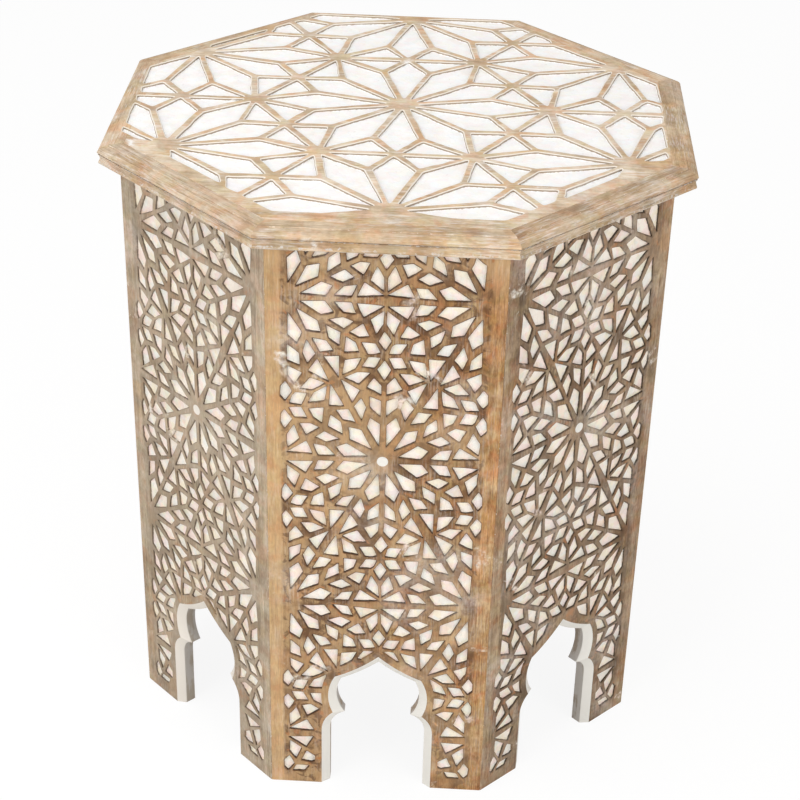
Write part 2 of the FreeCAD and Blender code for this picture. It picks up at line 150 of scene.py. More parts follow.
def where_circles_cross(centre_a, radius_a, centre_b, radius_b):
    """The crossing of two circles on the right of the way from the first to the second."""
    run = (centre_b[0] - centre_a[0], centre_b[1] - centre_a[1])
    gap = hypot(*run)
    forward = (radius_a ** 2 - radius_b ** 2 + gap ** 2) / (2 * gap) / gap
    aside = sqrt(radius_a ** 2 - (forward * gap) ** 2) / gap
    return (
        centre_a[0] + run[0] * forward + run[1] * aside,
        centre_a[1] + run[1] * forward - run[0] * aside,
    )


def arch_outline(growth):
    """The cusped ogee arch from its right foot over the point to its left foot."""
    lobe_centre = (jamb_half - lower_lobe_radius, springing_height)
    belly_centre = (0, upper_lobe_height)
    ogee_centre = (ogee_reach, arch_height + sqrt(ogee_radius ** 2 - ogee_reach ** 2))
    lobe = lower_lobe_radius + growth
    belly = upper_lobe_radius + growth
    ogee = ogee_radius - growth
    springing = (lobe_centre[0] + lobe, lobe_centre[1])
    cusp = where_circles_cross(lobe_centre, lobe, belly_centre, belly)
    shoulder = where_circles_cross(belly_centre, belly, ogee_centre, ogee)
    point = (0, ogee_centre[1] - sqrt(ogee ** 2 - ogee_reach ** 2))
    right = [(springing[0], 0), springing]
    right += arc_points(lobe_centre, springing, cusp, lobe_steps)
    right += arc_points(belly_centre, cusp, shoulder, belly_steps)
    right += arc_points(ogee_centre, shoulder, point, ogee_steps, clockwise=True)
    return right + [(-across, up) for across, up in reversed(right[:-1])]


def loose_object(name, held):
    """An object in the scene that holds a mesh, a lamp or the camera."""
    thing = bpy.data.objects.new(name, held)
    bpy.context.scene.collection.objects.link(thing)
    return thing


def stack_of_rings(name, rings):
    """A solid through rings of equally many points, capped at both ends, its faces outwards."""
    count = len(rings[0])
    points = [point for ring in rings for point in ring]
    faces = []
    for layer in range(len(rings) - 1):
        low, high = layer * count, (layer + 1) * count
        for i in range(count):
            j = (i + 1) % count
            faces.append((low + i, low + j, high + j, high + i))
    faces.append(tuple(range(count)))
    faces.append(tuple(range(len(points) - count, len(points))))
    mesh = bpy.data.meshes.new(name)
    mesh.from_pydata(points, [], faces)
    shell = bmesh.new()
    shell.from_mesh(mesh)
    bmesh.ops.recalc_face_normals(shell, faces=shell.faces)
    shell.to_mesh(mesh)
    shell.free()
    return mesh


def keep_side(outline, normal, limit):
    """The part of a convex outline on the near side of a line."""
    kept = []
    for start, end in sides_of(outline):
        here, there = (x * normal[0] + y * normal[1] - limit for x, y in (start, end))
        if here <= 0:
            kept.append(start)
        if here * there < 0:
            kept.append(part_way(start, end, here / (here - there)))
    return kept


def moved_sides(outline, distance):
    """The outward normal and the limit of each side of a convex outline, moved outwards."""
    sides = []
    for start, end in sides_of(outline):
        length = dist(start, end)
        normal = ((end[1] - start[1]) / length, (start[0] - end[0]) / length)
        sides.append((normal, start[0] * normal[0] + start[1] * normal[1] + distance))
    return sides


def inset(outline, distance):
    """A convex outline with every side moved inwards; sides that vanish are left out."""
    for normal, limit in moved_sides(outline, -distance):
        outline = keep_side(outline, normal, limit)
    return outline


def grown(outline, distance):
    """A convex outline, run counter-clockwise, with every side moved outwards and sharp corners."""
    if sum(a[0] * b[1] - b[0] * a[1] for a, b in sides_of(outline)) < 0:
        outline = outline[::-1]
    sides = moved_sides(outline, distance)
    corners = []
    for (before, limit_before), (normal, limit) in zip(sides[-1:] + sides, sides):
        cross = before[0] * normal[1] - before[1] * normal[0]
        corners.append((
            (limit_before * normal[1] - limit * before[1]) / cross,
            (before[0] * limit - normal[0] * limit_before) / cross,
        ))
    return corners


def cut_by_hand(outline, chance, slip, corner):
    """An outline as a gouge leaves it, its corners a little off and rounded, its sides uneven."""
    straight_side, long_side = 9 * mm, 25 * mm
    most_rounded = 0.3
    bow = 0.45 * slip
    outline = [(x + chance.gauss(0, slip), y + chance.gauss(0, slip)) for x, y in outline]
    cut = []
    for index, point in enumerate(outline):
        before, after = outline[index - 1], outline[(index + 1) % len(outline)]
        start, end = (
            part_way(point, neighbour, min(corner / dist(point, neighbour), most_rounded))
            for neighbour in (before, after)
        )
        cut += [start, tuple((a + 2 * b + c) / 4 for a, b, c in zip(start, point, end)), end]
        run = dist(point, after)
        if run > straight_side:
            for share in ((0.5,) if run < long_side else (0.3, 0.5, 0.7)):
                between = part_way(point, after, share)
                cut.append(tuple(part + chance.gauss(0, bow) for part in between))
    return cut


# The cells between the ridges of a side panel, as outlines in the plane of the panel, each with how
# much wider than drawn it is cut. They are drawn for rosettes one unit apart.
petal = [spot_at(r, radians(a)) for r, a in ((0.09, 75), (0.2, 85), (0.243, 75), (0.2, 65))]
inner_leaf = [(0.021, 0.26), (0.021, 0.328), (0.068, 0.347), (0.063, 0.297)]
mirrored_leaf = [turned((x, -y), radians(150)) for x, y in inner_leaf]
star_point = [(0.213, 0.43), (0.127, 0.385), (0.161, 0.332)]
kite = [(0.021, 0.374), (0.021, 0.417), (0.049, 0.4525), (0.081, 0.403)]
outer_kite = [(0.085, 0.478), (0.139, 0.48), (0.191, 0.4515), (0.127, 0.4265)]
diamond = [(0.033, 0), (0.078, 23), (0.121, 0), (0.078, -23)]
cells = []
for sixth in range(6):
    angle = radians(60 * sixth)
    for shape in (petal, inner_leaf, mirrored_leaf, star_point, kite, outer_kite):
        growth = petal_growth if shape is petal else other_growth
        for flip in (1, -1):
            cells.append((growth, [turned((flip * x, y), angle) for x, y in shape]))
    for knot in (90, 30):
        middle = [part / sqrt(3) for part in spot_at(1, radians(knot))]
        corners = [spot_at(r, angle + radians(a - 90)) for r, a in diamond]
        cells.append((other_growth, [(middle[0] + x, middle[1] + y) for x, y in corners]))
side_lattice = []
for row, column in product(range(-3, 3), range(-2, 3)):
    x0 = column + (0.5 if row % 2 else 0)
    y0 = row * sqrt(3) / 2
    for growth, cell in cells:
        side_lattice.append((growth, [
            (
                (x0 + x) * rosette_across,
                rosette_height + (y0 + y) * rosette_across * rosette_stretch,
            )
            for x, y in cell
        ]))


def inside(point, outline):
    """Whether a point lies within an outline."""
    within = False
    for start, end in sides_of(outline):
        if (start[1] > point[1]) != (end[1] > point[1]):
            share = (point[1] - start[1]) / (end[1] - start[1])
            if point[0] < part_way(start, end, share)[0]:
                within = not within
    return within


def closest(point, outline):
    """How far a point is from an outline, and the point of the outline that stands closest."""
    found = []
    for start, end in sides_of(outline):
        run = (end[0] - start[0], end[1] - start[1])
        along = (point[0] - start[0]) * run[0] + (point[1] - start[1]) * run[1]
        spot = part_way(start, end, min(max(along / (run[0] ** 2 + run[1] ** 2), 0), 1))
        found.append((dist(spot, point), spot))
    return min(found, key=lambda pair: pair[0])


def without_short_sides(outline):
    """The same outline with the ends of each short side drawn together."""
    short_side = 2 * mm
    kept = []
    for point in outline:
        if kept and dist(kept[-1], point) < short_side:
            kept[-1] = middle_of([kept[-1], point])
        else:
            kept.append(point)
    if len(kept) > 1 and dist(kept[0], kept[-1]) < short_side:
        kept[0] = middle_of([kept[0], kept.pop()])
    return kept


def kept_apart(outlines):
    """The same cells with corners taken off where a ridge would grow too narrow."""
    narrow_ridge, touching, neighbour_reach = 2.4 * mm, 0.05 * mm, 28 * mm
    middles = [middle_of(outline) for outline in outlines]
    outlines = list(outlines)
    for one, other in combinations(range(len(outlines)), 2):
        near = dist(middles[one], middles[other]) <= neighbour_reach
        if not (near and outlines[one] and outlines[other]):
            continue
        pairs = [(*closest(point, outlines[one]), point) for point in outlines[other]]
        for point in outlines[one]:
            gap, spot = closest(point, outlines[other])
            pairs.append((gap, point, spot))
        gap, here, there = min(pairs)
        if gap < narrow_ridge:
            run = [b - a for a, b in zip(middles[one], middles[other])]
            away = [b - a for a, b in zip(here, there)]
            if away[0] * run[0] + away[1] * run[1] <= 0 or gap < touching:
                away = run
            normal = [part / hypot(*away) for part in away]
            limit = sum(part * axis for part, axis in zip(middle_of([here, there]), normal))
            back = [-part for part in normal]
            outlines[one] = keep_side(outlines[one], normal, limit - narrow_ridge / 2)
            outlines[other] = keep_side(outlines[other], back, -limit - narrow_ridge / 2)
    return [outline for outline in map(without_short_sides, outlines) if len(outline) > 2]


def cell_floors(name, outlines, lay):
    """Flat faces on the floors of the cells. Each corner keeps the way it moves as the cell widens
    towards the face, less where another cell stands close."""
    edge_step, edge_reach = 1.5 * mm, 5 * mm
    least_ridge, shoulder_room, least_mitre = 0.6 * mm, 1.6, 0.8
    spots = []
    for owner, outline in enumerate(outlines):
        for start, end in sides_of(outline):
            steps = ceil(dist(start, end) / edge_step)
            for step in range(steps):
                spots.append((owner, [a + (b - a) * step / steps for a, b in zip(start, end)]))
    edges = kdtree.KDTree(len(spots))
    for number, (owner, spot) in enumerate(spots):
        edges.insert((*spot, 0), number)
    edges.balance()
    points, faces, ways = [], [], []
    for owner, outline in enumerate(outlines):
        faces.append(tuple(range(len(points), len(points) + len(outline))))
        normals = [normal for normal, limit in moved_sides(outline, 0)]
        for corner, before, normal in zip(outline, normals[-1:] + normals, normals):
            mitre = max(1 + before[0] * normal[0] + before[1] * normal[1], least_mitre)
            near = [
                gap for _, number, gap in edges.find_range((*corner, 0), edge_reach)
                if spots[number][0] != owner
            ]
            room = min(near, default=edge_reach) - least_ridge
            room = min(max(room / (2 * shoulder_width * shoulder_room), 0), 1)
            way = [(a + b) / mitre * room for a, b in zip(before, normal)]
            points.append(lay(*corner))
            ways.append(Vector(lay(*way)) - Vector(lay(0, 0)))
    flat = bpy.data.meshes.new(name)
    flat.from_pydata(points, [], faces)
    spread = flat.attributes.new("spread", "FLOAT_VECTOR", "POINT")
    spread.data.foreach_set("vector", [part for way in ways for part in way])
    return flat


def panel_cells(name, seed, wider):
    """One panel's cells, cut by hand, as flat faces on the floor of the carving."""
    chance = random.Random(seed)
    limits = (
        ((1, 0), carved_half), ((-1, 0), carved_half),
        ((0, -1), -foot_band), ((0, 1), panel_height - head_band),
    )
    outlines = []
    for growth, cell in side_lattice:
        cell = grown(cell, growth + wider)
        for normal, limit in limits:
            cell = keep_side(cell, normal, limit)
        if len(cell) > 2 and len(inset(cell, smallest_side_cell / 2)) > 2:
            outlines.append(cell)
    clear = arch_outline(bevel_width + arch_band)
    outlines = [cell for cell in kept_apart(outlines) if not inside(middle_of(cell), clear)]
    outlines = [cut_by_hand(cell, chance, side_slip, side_corner) for cell in outlines]
    floor_level = panel_face + cell_depth
    return cell_floors(name, outlines, lambda across, up: (across, floor_level, up + cell_lift))


def new_tree(name, inputs):
    """A geometry tree with named inputs, and those inputs for its nodes to take."""
    tree = bpy.data.node_groups.new(name, "GeometryNodeTree")
    tree.interface.new_socket("Geometry", in_out="INPUT", socket_type="NodeSocketGeometry")
    for label, kind, *default in inputs:
        socket = tree.interface.new_socket(label, in_out="INPUT", socket_type="NodeSocket" + kind)
        if default:
            socket.default_value = default[0]
    tree.interface.new_socket("Geometry", in_out="OUTPUT", socket_type="NodeSocketGeometry")
    return tree, tree.nodes.new("NodeGroupInput").outputs


def node(tree, kind, links=(), **settings):
    """A node with its settings made and its inputs joined or filled."""
    made = tree.nodes.new(kind)
    for key, setting in settings.items():
        setattr(made, key, setting)
    for key, source in dict(links).items():
        if isinstance(source, bpy.types.NodeSocket):
            tree.links.new(source, made.inputs[key])
        else:
            made.inputs[key].default_value = source
    return made


def worked_out(tree, operation, first, second=0.0):
    """The outcome of a sum."""
    return node(tree, "ShaderNodeMath", {0: first, 1: second}, operation=operation).outputs[0]


def vector_of(tree, **parts):
    """A vector from its X, Y and Z, each nought where it isn't given."""
    return node(tree, "ShaderNodeCombineXYZ", parts).outputs[0]


def stored(tree, geometry, label, value, kind="FLOAT", domain="POINT"):
    """The geometry with a value kept on it under a name."""
    return node(tree, "GeometryNodeStoreNamedAttribute", {
        "Geometry": geometry, "Name": label, "Value": value,
    }, data_type=kind, domain=domain).outputs[0]


def placed(tree, geometry, **how):
    """The geometry moved, turned or scaled."""
    return node(tree, "GeometryNodeTransform", {"Geometry": geometry, **how}).outputs[0]


def cut_away(tree, solid, *cutters):
    """What is left of a solid once its cutters have been through it."""
    left = node(tree, "GeometryNodeMeshBoolean", {
        "Mesh 1": solid,
    }, operation="DIFFERENCE", solver="MANIFOLD")
    for cutter in cutters:
        tree.links.new(cutter, left.inputs["Mesh 2"])
    return left.outputs["Mesh"]


def close_tree(tree, given, geometry):
    """The end of a tree: a plain mesh with its finish on."""
    plain = node(tree, "GeometryNodeRealizeInstances", {"Geometry": geometry}).outputs[0]
    finished = node(tree, "GeometryNodeSetMaterial", {
        "Geometry": plain, "Material": given["Finish"],
    }).outputs[0]
    node(tree, "NodeGroupOutput", {"Geometry": finished})


carving, given = new_tree("sunk_cells", [
    ("Board", "Object"),
    ("Kept clear", "Object"),
    ("Dot", "Object"),
    ("Cell depth", "Float", cell_depth),
    ("Shoulder", "Float", shoulder_width),
    ("Into the wood", "Vector", (0, 1, 0)),
    ("Face level", "Float", panel_face),
    ("Grain shift", "Vector", (0, 0, 0)),
    ("Turn", "Float", 0.0),
    ("Finish", "Material"),
])
# Each floor is raised into a cutter in four lifts: the wall, the shoulder, its rubbed lip, and the
# overrun above the face. Each lift widens it by its share of the shoulder.
spread = node(
    carving, "GeometryNodeInputNamedAttribute", {"Name": "spread"}, data_type="FLOAT_VECTOR",
).outputs["Attribute"]
wall_height = worked_out(carving, "SUBTRACT", given["Cell depth"], shoulder_depth)
cutter, cutter_top = given["Geometry"], True
for lift, share in (
    (wall_height, 0.15), (shoulder_depth - rubbed_depth, 0.3), (rubbed_depth, 0.55),
    (saw_overrun, 0),
):
    raised = node(carving, "GeometryNodeExtrudeMesh", {
        "Mesh": cutter, "Selection": cutter_top, "Offset Scale": lift, "Individual": True,
    })
    widening = node(carving, "ShaderNodeVectorMath", {
        0: spread, "Scale": worked_out(carving, "MULTIPLY", given["Shoulder"], share),
    }, operation="SCALE").outputs[0]
    cutter_top = raised.outputs["Top"]
    cutter = node(carving, "GeometryNodeSetPosition", {
        "Geometry": raised.outputs["Mesh"], "Selection": cutter_top, "Offset": widening,
    }).outputs[0]
floors = node(carving, "GeometryNodeFlipFaces", {"Mesh": given["Geometry"]}).outputs[0]
both = node(carving, "GeometryNodeJoinGeometry")
for part in (cutter, floors):
    carving.links.new(part, both.inputs[0])
closed = node(carving, "GeometryNodeMergeByDistance", {
    "Geometry": both.outputs[0], "Distance": merge_gap,
}).outputs[0]
board, clear, dot = (
    node(carving, "GeometryNodeObjectInfo", {"Object": given[label]}).outputs["Geometry"]
    for label in ("Board", "Kept clear", "Dot")
)
cutters = cut_away(carving, stored(carving, closed, "wash", 1.0, domain="FACE"), clear)
dotted = stored(carving, dot, "line", full_paint, domain="FACE")
carved = cut_away(carving, board, cutters, dotted)
place = node(carving, "GeometryNodeInputPosition").outputs[0]
inward = node(carving, "ShaderNodeVectorMath", {
    0: place, 1: given["Into the wood"],
}, operation="DOT_PRODUCT").outputs["Value"]
shifted = node(carving, "ShaderNodeVectorMath", {
    0: place, 1: given["Grain shift"],
}, operation="ADD").outputs[0]
depth = worked_out(carving, "SUBTRACT", inward, given["Face level"])
sunk = stored(carving, carved, "depth", depth)
grained = stored(carving, sunk, "grain", shifted, "FLOAT_VECTOR")
close_tree(carving, given, placed(carving, grained, Rotation=vector_of(carving, Z=given["Turn"])))


def made_by(tree, name, start, **inputs):
    """The plain mesh that a geometry tree makes from a starting mesh, as a finished piece."""
    work = loose_object(name + "_work", start)
    modifier = work.modifiers.new("make", "NODES")
    modifier.node_group = tree
    identifiers = {item.name: item.identifier for item in tree.interface.items_tree}
    for label, setting in inputs.items():
        modifier[identifiers[label.replace("_", " ")]] = setting
    shown = work.evaluated_get(bpy.context.evaluated_depsgraph_get())
    mesh = bpy.data.meshes.new_from_object(shown)
    mesh.name = name
    work.modifiers.remove(modifier)
    bpy.data.objects.remove(work)
    return loose_object(name, mesh)


def paint(red, green, blue):
    """A colour as a camera shows it, in the numbers that a shader takes."""
    def straight(level):
        level /= 255
        return level / 12.92 if level <= 0.04045 else ((level + 0.055) / 1.055) ** 2.4
    return (straight(red), straight(green), straight(blue), 1)


def palette(*colours):
    """Several such colours at once."""
    return [paint(*colour) for colour in colours]


def new_finish(name):
    """A material, its node tree and the shader in it."""
    finish = bpy.data.materials.new(name)
    finish.use_nodes = True
    return finish, finish.node_tree, finish.node_tree.nodes["Principled BSDF"]


def washed_wood(name, along, tones, wash_tones, line_tone, smear, residue, stain, seed, field=None):
    """Open-grained wood with white paint in its sunk parts, rubbed thin on the raised ones.
    along is the axis of the grain. tones are the wood's dark, middle and light streaks, its pores
    and stains, its shoulders (painted shade and dark patches on a panel's carved part, rubbed pale
    elsewhere) and the walls of its cells, darkened as painted shade and dirt; wash_tones are the
    paint's two whites and its dirt, and line_tone is its colour in grooves and on bevels, turning
    to a grey painted shade deep in the arch and below the rim's nose. smear and residue are how
    much paint stays on the face, and stain is how far dark, red and olive patches show. field is
    the carved part of a panel, dirtier and more worn than its edges and with painted shade on its
    shoulders: the shift of its grain, half its width, and how much paler its head and left side
    are."""
    finish, tree, shader = new_finish(name)
    times, plus, less, larger, size_of = (
        partial(worked_out, tree, operation)
        for operation in ("MULTIPLY", "ADD", "SUBTRACT", "MAXIMUM", "ABSOLUTE")
    )
    grain = node(tree, "ShaderNodeAttribute", attribute_name="grain").outputs["Vector"]
    depth_in, wash_in, line_in = (
        node(tree, "ShaderNodeAttribute", attribute_name=label).outputs["Fac"]
        for label in ("depth", "wash", "line")
    )

    def noise(vector, scale, detail=4, roughness=0.6, distortion=0):
        return node(tree, "ShaderNodeTexNoise", {
            "Vector": vector, "Scale": scale, "Detail": detail, "Roughness": roughness,
            "Distortion": distortion,
        }).outputs["Fac"]

    def lengthwise(across_scale, along_scale, detail, roughness, distortion=0):
        scale = [across_scale, across_scale, across_scale]
        scale[along] = along_scale
        drawn_out = node(tree, "ShaderNodeMapping", {
            "Vector": grain, "Location": (seed * 3.7, seed * 1.9, seed * 2.3), "Scale": scale,
        })
        return noise(drawn_out.outputs[0], 1, detail, roughness, distortion)

    def ranged(source, low, high, to_low=0, to_high=1):
        return node(tree, "ShaderNodeMapRange", {
            "Value": source, "From Min": low, "From Max": high, "To Min": to_low, "To Max": to_high,
        }, interpolation_type="SMOOTHSTEP").outputs[0]

    def blend(share, first, second, kind="MIX"):
        return node(tree, "ShaderNodeMix", {
            0: share, 6: first, 7: second,
        }, data_type="RGBA", blend_type=kind).outputs[2]

    # Bare wood: streaks and bands along the grain, blotches, fibres, open pores and faint casts.
    streaks = lengthwise(60, 5, 5, 0.6, 0.8)
    bands = lengthwise(260, 16, 4, 0.6, 0.4)
    blotches = noise(grain, 45)
    fibres = lengthwise(900, 240, 2, 0.6)
    tone = plus(times(streaks, 0.35), plus(times(bands, 0.3), times(blotches, 0.35)))
    tone = plus(tone, times(less(fibres, 0.5), 0.25))
    ramp = node(tree, "ShaderNodeValToRGB", {"Fac": tone})
    dark, light = ramp.color_ramp.elements
    dark.position, dark.color = 0.38, tones[0]
    light.position, light.color = 0.63, tones[2]
    ramp.color_ramp.elements.new(0.5).color = tones[1]
    pores = lengthwise(1100, 34, 2, 0.5)
    wood = blend(times(ranged(pores, 0.56, 0.68), 0.45), ramp.outputs["Color"], tones[3])
    casts = palette((255, 210, 158), (236, 242, 200), (255, 208, 190))
    for scale, cast in zip((41, 57, 73), casts):
        cast_over = ranged(noise(grain, scale, 3, 0.6, 0.6), 0.46, 0.62)
        wood = blend(times(cast_over, stain), wood, cast, "MULTIPLY")

    # Dirt, wear and painted shade: stains, shoulders, cell walls darkened as painted shade and
    # dirt, and on a panel what sets its carved part apart, with painted shade on its shoulders.
    # The shoulders: rubbed pale on the top and rim, painted shade on a panel's carved part.
    shoulder = times(ranged(depth_in, 0, 0.16 * mm), wash_in)
    # The walls of the cells, darkened below the face as painted shade and dirt.
    wall = times(ranged(depth_in, 0.35 * mm, 0.7 * mm), wash_in)
    stained = times(ranged(noise(grain, 34, 5, 0.62, 0.5), 0.47, 0.62), stain)
    if field:
        shift, half, paleness = field
        place = node(tree, "ShaderNodeSeparateXYZ", {0: grain}).outputs
        off_middle, height = less(place[0], shift[0]), less(place[2], shift[2])
        carved_part = ranged(size_of(off_middle), half - 1.5 * mm, half + 1.5 * mm, 1, 0)
        # Painted shade on the shoulders, in patches and strongest where they face up or down; the
        # same patches vary the painted shade and dirt on the cell walls.
        patchy_shade_and_dirt = ranged(noise(grain, 62, 3, 0.6), 0.34, 0.56, 0.45, 1)
        normal = node(tree, "ShaderNodeNewGeometry").outputs["Normal"]
        up = node(tree, "ShaderNodeSeparateXYZ", {0: normal}).outputs[2]
        tilt_shade = ranged(size_of(up), 0.04, 0.2, 0.35, 1)
        worn = ranged(noise(grain, 12, 4, 0.55, 0.5), 0.46, 0.64)
        to_left = ranged(off_middle, -0.4 * half, 0.4 * half, 0.7, 0)
        to_head = ranged(height, panel_height - 52 * mm, panel_height - 6 * mm)
        wood = blend(times(larger(to_left, to_head), paleness), wood, tones[2])
        stained = times(plus(stained, 0.2), carved_part)
        wood = blend(stained, wood, tones[3])
        for scale, low, patch in ((95, 0.52, tones[4]), (83, 0.6, paint(176, 112, 62))):
            patched = ranged(noise(grain, scale, 3, 0.6, 0.8), low, low + 0.08, 0, stain * 1.3)
            wood = blend(times(patched, carved_part), wood, patch)
        # Painted shade on the shoulders of the carved part.
        wood = blend(times(times(shoulder, patchy_shade_and_dirt), tilt_shade), wood, tones[4])
        wood = blend(times(times(worn, 0.25), carved_part), wood, tones[2])
        wall = times(wall, patchy_shade_and_dirt)
    else:
        wood = blend(stained, wood, tones[3])
        wood = blend(shoulder, wood, tones[4])
    chalk = lengthwise(900, 70, 3, 0.6)
    patches = noise(grain, 38)
    chalky = times(ranged(chalk, 0.46, 0.66), ranged(patches, 0.38, 0.62))
    wood = blend(times(chalky, residue), wood, wash_tones[1])
    # Painted shade and dirt on the walls of the cells.
    wood = blend(times(wall, 0.92), wood, tones[5])

    # The paint itself: cloudy, brushed, faintly tinted and specked.
    cloudy = noise(grain, 55)
    brushed = lengthwise(520, 120, 3, 0.6)
    specks = noise(grain, 1300, 2, 0.7)
    wash = blend(ranged(cloudy, 0.35, 0.62), wash_tones[0], wash_tones[1])
    wash = blend(ranged(brushed, 0.56, 0.7, 0, 0.35), wash, wash_tones[2])
    tint_share = 0.6 if field else 0.25
    tints = palette((255, 238, 243), (238, 249, 255), (253, 252, 234))
    for scale, tint in zip((88, 103, 121), tints):
        tinted = ranged(noise(grain, scale, 2, 0.55), 0.5, 0.58, 0, tint_share)
        wash = blend(tinted, wash, tint, "MULTIPLY")
    wash = blend(ranged(specks, 0.56, 0.66, 0, 0.4), wash, wash_tones[2])

    # Where it lies: in the cells with a ragged edge, in lines and bevels, and in smudges and haze.
    thick = noise(grain, 330)
    unevenness = less(thick, 0.5)
    ragged = plus(depth_in, times(unevenness, 1.4 * mm))
    in_cells = times(ranged(ragged, 1.35 * mm, 1.85 * mm), wash_in)
    in_lines = ranged(plus(line_in, times(unevenness, 1.4)), 0.42, 0.6)
    smudges = ranged(noise(grain, 24, 5, 0.65, 0.4), 0.7 - smear, 0.8 - smear)
    smudged = times(smudges, ranged(thick, 0.36, 0.56, 0.25, 0.85))
    haze = ranged(noise(grain, 15, 5, 0.6, 0.3), 0.5, 0.72)
    hazy = times(haze, ranged(thick, 0.3, 0.6, 0.2, 0.6))
    smudged = larger(smudged, times(hazy, smear * 6))
    covering = larger(larger(in_cells, in_lines), smudged)
    # Painted shade: deep in the arch and below the rim's nose the line paint turns a duller grey.
    deep_shade = ranged(depth_in, 4.8 * mm, 6 * mm)
    line_colour = blend(deep_shade, line_tone, paint(206, 200, 193))
    grime = times(ranged(plus(bands, blotches), 0.94, 1.12, 0, 0.6), deep_shade)
    line_colour = blend(grime, line_colour, tones[1])
    wash = blend(in_lines, wash, line_colour)
    tree.links.new(blend(covering, wood, wash), shader.inputs["Base Color"])

    # The paint is duller than the wood and stands a little proud of it; the pores are sunk.
    tree.links.new(ranged(covering, 0, 1, 0.58, 0.82), shader.inputs["Roughness"])
    shader.inputs["Specular IOR Level"].default_value = 0.3
    relief = plus(times(pores, -0.35), times(bands, 0.2))
    relief = plus(relief, times(covering, times(thick, 0.9)))
    bump = node(tree, "ShaderNodeBump", {"Height": relief, "Strength": 0.55, "Distance": 0.5 * mm})
    tree.links.new(bump.outputs[0], shader.inputs["Normal"])
    return finish


side_wash = palette((240, 229, 216), (249, 241, 231), (224, 208, 192))
arch_tones = {"front_left": paint(229, 222, 212)}
arch_tone = paint(229, 226, 219)
# Each panel palette ends with its carved shoulders' colour, for painted shade and dark patches,
# then its cell walls' colour, for painted shade and dirt.
warm_wood = palette(
    (124, 90, 55), (172, 138, 97), (207, 174, 130), (84, 54, 29), (86, 55, 30), (42, 25, 13),
)
grey_wood = palette(
    (140, 123, 101), (176, 159, 136), (206, 189, 167), (102, 86, 68), (140, 123, 102), (84, 69, 54),
)
brown_wood = palette(
    (110, 88, 66), (150, 126, 99), (188, 164, 136), (72, 54, 38), (92, 71, 51), (44, 31, 20),
)
panel_stain = [0.5, 0.42, 0.3, 0.5, 0.3, 0.42, 0.5, 0.28]
panel_paleness = {"front": 0.6}
panel_tones = [
    warm_wood, brown_wood, grey_wood, warm_wood, grey_wood, brown_wood, warm_wood, grey_wood,
]

# The mitred board with its arch and bevel, before carving.
rings = []
for depth, ease, growth in (
    (0, arris, bevel_width),
    (arris, 0, bevel_width * (1 - arris / bevel_depth)),
    (bevel_depth, 0, 0),
    (panel_thickness, 0, 0),
):
    half = (-panel_face - depth) * mitre_slope - ease
    outline = [(half, 0), (half, panel_height), (-half, panel_height), (-half, 0)]
    outline += [(across, up) for across, up in reversed(arch_outline(growth))]
    rings.append([(across, panel_face + depth, up) for across, up in outline])
blank = stack_of_rings("panel_blank", rings)
painted = blank.attributes.new("line", "FLOAT", "FACE")
well_in = -panel_face * mitre_slope - 2 * stile_width
facing_out = 0.98
for face in blank.polygons:
    middle = face.center
    sawn = abs(face.normal.y) < facing_out and 0 < middle.z < 2 * upper_lobe_height
    if sawn and abs(middle.x) < well_in:
        painted.data[face.index].value = full_paint
    elif middle.y < panel_face + arris and abs(middle.x) > well_in:
        painted.data[face.index].value = arris_paint
blank_board = loose_object("blank_board", blank)

# What the cells stay clear of, and the round mark in the middle of the middle rosette.
clear_outline = arch_outline(bevel_width + arch_band)
for foot in (0, -1):
    clear_outline[foot] = (clear_outline[foot][0], -saw_overrun)
kept_clear = loose_object("kept_clear", stack_of_rings("kept_clear", [
    [(across, panel_face + depth_at, up) for across, up in clear_outline]
    for depth_at in (-3 * saw_overrun, cell_depth + 2 * saw_overrun)
]))
rings = []
for depth, radius in (
    (plug_depth, 0.9 * plug_radius), (0, plug_radius), (-saw_overrun, plug_radius),
):
    ring = [spot_at(radius, radians(360 / plug_sides * step)) for step in range(plug_sides)]
    rings.append([(across, panel_face + depth, rosette_height + up) for across, up in ring])
small_dot = loose_object("plug_dot", stack_of_rings("plug_dot", rings))

for step, direction in enumerate(directions):
    shift = [share * step for share in (0.31, 0.17, 0.57)]
    carved_panel = made_by(
        carving, "carved_panel_" + direction,
        panel_cells("cells_" + direction, 11 + step, wider_cut.get(direction, 0)),
        Board=blank_board, Kept_clear=kept_clear, Dot=small_dot,
        Grain_shift=shift, Turn=eighth_turn * step,
        Finish=washed_wood(
            "washed_panel_" + direction, 2, panel_tones[step], side_wash,
            arch_tones.get(direction, arch_tone), smear=0.09, residue=0.15,
            stain=panel_stain[step], seed=step,
            field=(shift, carved_half, panel_paleness.get(direction, 0.0)),
        ),
    )
    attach(carved_panel, "root")
    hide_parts("side_panel_" + direction)
for helper in (blank_board, kept_clear, small_dot):
    bpy.data.objects.remove(helper)

# --- Glue blocks ---
# Eight softwood blocks glued into the inner corners of the drum, planed and left bare. Their grain
# stands upright, and their arrises are eased.

eased_arris = 0.8 * mm


